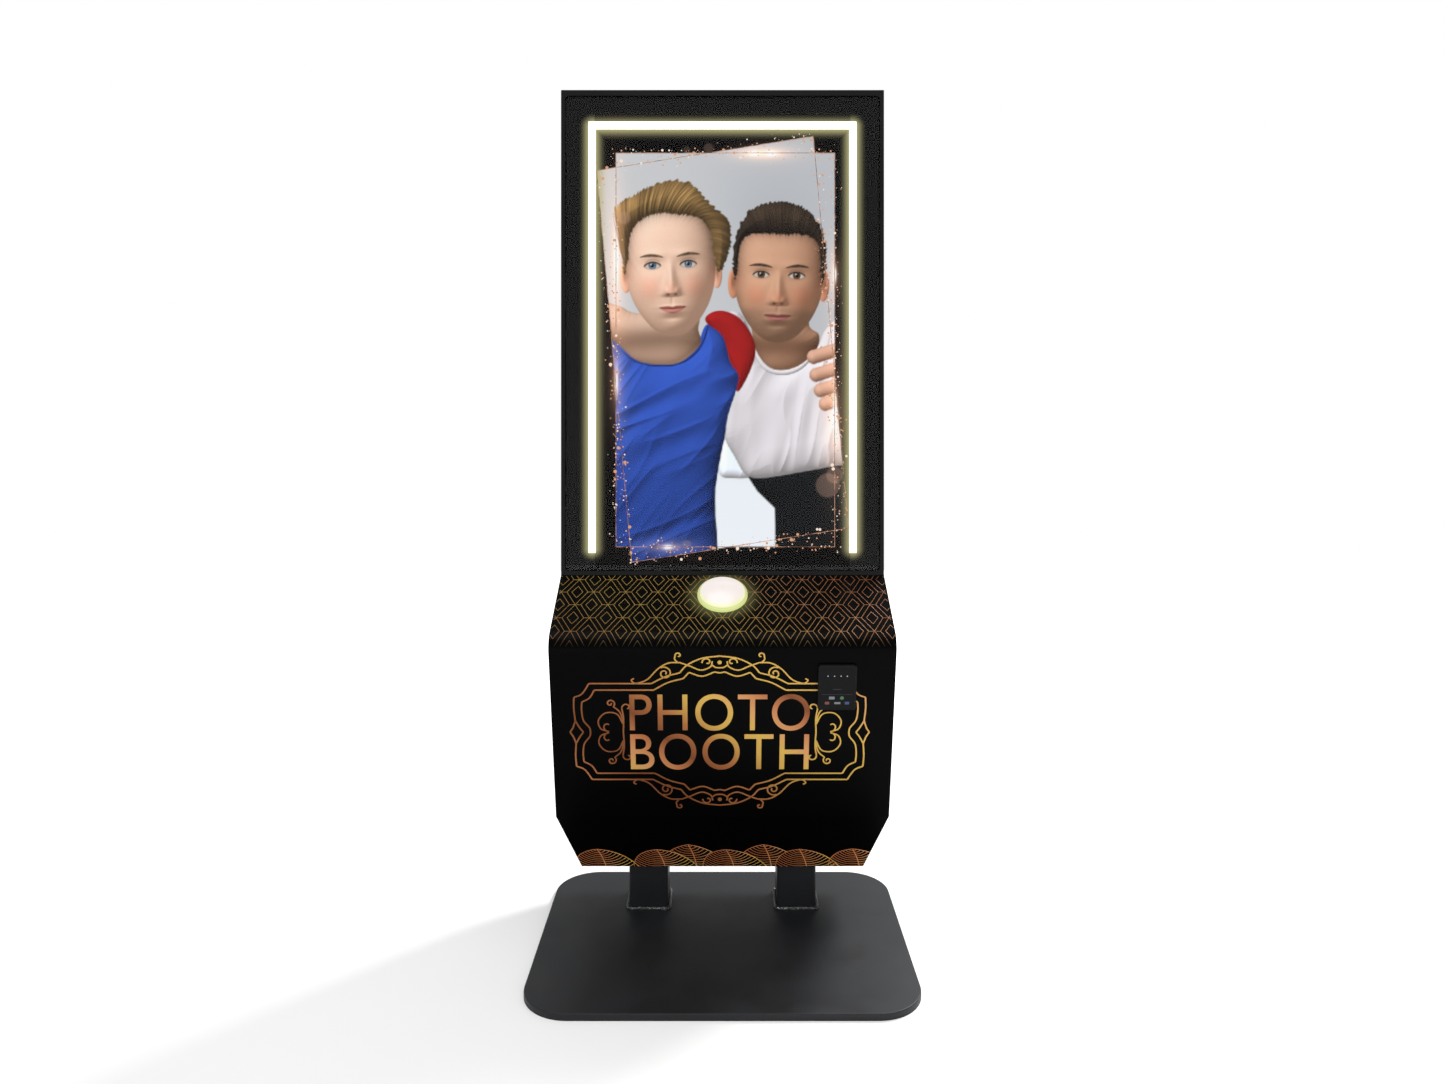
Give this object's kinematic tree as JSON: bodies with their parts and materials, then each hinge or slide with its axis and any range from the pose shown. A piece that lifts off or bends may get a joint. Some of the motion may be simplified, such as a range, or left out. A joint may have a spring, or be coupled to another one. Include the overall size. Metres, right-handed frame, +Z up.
{
  "type": "photo booth",
  "caption": "Free-standing photo booth kiosk: portrait display with a lit surround on a folded console with a push button, card reader and printer, on two posts.",
  "frame": {"origin": "centre of the base plate's underside, on the floor", "axes": "+Z up, the front faces -Y, +X is to a viewer's right"},
  "size_m": [0.71, 0.54, 1.7],
  "materials": {
    "base_powder_coat": "fine-texture black powder coat, satin",
    "satin_powder_coat": "smooth black powder coat, satin",
    "gloss_black_skin": "black printed vinyl over powder-coated steel, semi-gloss",
    "foil_gold": "printed copper and gold ink, satin",
    "front_glass": "tempered, black printed border, polished",
    "lcd_panel": "liquid crystal panel, lit",
    "lit_opal": "opal silicone, lit",
    "lit_dome": "translucent acrylic, lit",
    "lit_rim": "translucent acrylic, lit",
    "rubber": "matt black rubber",
    "black_abs": "moulded ABS, fine texture",
    "gloss_black_pane": "polished black polycarbonate",
    "lens_glass": "coated optical lens",
    "aluminium": "anodised, satin",
    "zinc_steel": "zinc-plated sheet steel",
    "bright_steel": "zinc-plated fasteners",
    "chrome": "polished plating",
    "circuit_board": "white solder resist with LED chips",
    "paper": "photo paper on a roll"
  },
  "bodies": {
    "booth": {"base_plate": "base_powder_coat", "button_bezel": "lit_rim", "button_lamp": "circuit_board", "button_nut": "black_abs", "button_spring": "bright_steel", "button_switch": "black_abs", "camera_bracket": "zinc_steel", "computer": "aluminium", "console_shell": "gloss_black_skin", "cover_screws": "bright_steel", "display_back_cover": "satin_powder_coat", "display_housing": "satin_powder_coat", "fan_frames": "black_abs", "fan_guards": "satin_powder_coat", "fan_screws": "bright_steel", "front_glass": "front_glass", "glass_gasket": "rubber", "hinge_fixed_leaves": "bright_steel", "hinge_pins": "bright_steel", "hinge_screws": "bright_steel", "lcd_frame": "zinc_steel", "lcd_panel": "lcd_panel", "lcd_rails": "zinc_steel", "lcd_screws": "bright_steel", "led_driver": "aluminium", "left_post": "base_powder_coat", "light_channel": "aluminium", "light_diffuser": "lit_opal", "light_strip": "circuit_board", "neck_bolts": "bright_steel", "neck_plate": "zinc_steel", "post_top_plates": "base_powder_coat", "post_welds": "base_powder_coat", "power_inlet": "black_abs", "print_head": "aluminium", "print_pocket": "satin_powder_coat", "printer_case": "black_abs", "reader_clamp": "zinc_steel", "reader_housing": "black_abs", "reader_screws": "bright_steel", "reader_window": "gloss_black_pane", "right_post": "base_powder_coat", "rubber_feet": "rubber", "shelf": "zinc_steel", "shelf_bolts": "bright_steel", "shelf_brackets": "zinc_steel"},
    "door": {"console_door": "satin_powder_coat", "hinge_moving_leaves": "bright_steel", "door_lock": "chrome"},
    "cam": {"lock_cam": "zinc_steel"},
    "dome": {"button_dome": "lit_dome"},
    "plunger": {"switch_plunger": "black_abs"},
    "lid": {"printer_lid": "black_abs"},
    "roll": {"paper_roll": "paper"},
    "platen": {"platen_roller": "rubber"},
    "camera": {"camera_body": "black_abs", "camera_lens": "lens_glass"},
    "fan_left": {"fan_rotor_left": "black_abs"},
    "fan_right": {"fan_rotor_right": "black_abs"},
    "rocker": {"rocker_switch": "gloss_black_pane"}
  },
  "joints": [
    {"name": "button_press", "type": "slide", "parent": "booth", "child": "dome", "axis": [0, 0.5084, -0.8611], "range_m": [0, 0.004], "stiffness_N_per_m": 900, "springref_m": -0.003, "deforming": ["button_spring"]},
    {"name": "switch_press", "type": "slide", "parent": "booth", "child": "plunger", "axis": [0, 0.5084, -0.8611], "range_m": [0, 0.004]},
    {"name": "door_swing", "type": "hinge", "parent": "booth", "child": "door", "pos_m": [-0.303, 0.226, 0.461], "axis": [0, 0, 1], "range_deg": [0, 110]},
    {"name": "lock_turn", "type": "hinge", "parent": "door", "child": "cam", "pos_m": [0.262, 0.214, 0.461], "axis": [0, 1, 0], "range_deg": [0, 90]},
    {"name": "lid_swing", "type": "hinge", "parent": "booth", "child": "lid", "pos_m": [0, 0.003, 0.5365], "axis": [1, 0, 0], "range_deg": [0, 25]},
    {"name": "roll_spin", "type": "hinge", "parent": "booth", "child": "roll", "pos_m": [0.02, 0.108, 0.464], "axis": [0, 1, 0], "continuous": true},
    {"name": "platen_spin", "type": "hinge", "parent": "booth", "child": "platen", "pos_m": [-0.205, 0.108, 0.486], "axis": [0, 1, 0], "continuous": true},
    {"name": "camera_tilt", "type": "hinge", "parent": "booth", "child": "camera", "pos_m": [0, 0.122, 1.681], "axis": [1, 0, 0], "range_deg": [-10, 10]},
    {"name": "fan_left_spin", "type": "hinge", "parent": "booth", "child": "fan_left", "pos_m": [-0.12, 0.212, 1.5], "axis": [0, 1, 0], "continuous": true},
    {"name": "fan_right_spin", "type": "hinge", "parent": "booth", "child": "fan_right", "pos_m": [0.12, 0.212, 1.5], "axis": [0, 1, 0], "continuous": true},
    {"name": "rocker_press", "type": "hinge", "parent": "booth", "child": "rocker", "pos_m": [0.21, 0.219, 0.21], "axis": [1, 0, 0], "range_deg": [-24, 0]}
  ],
  "couplings": [
    {"joint": "switch_press", "follows": "button_press", "ratio": 1},
    {"joint": "platen_spin", "follows": "roll_spin", "ratio": 5}
  ]
}
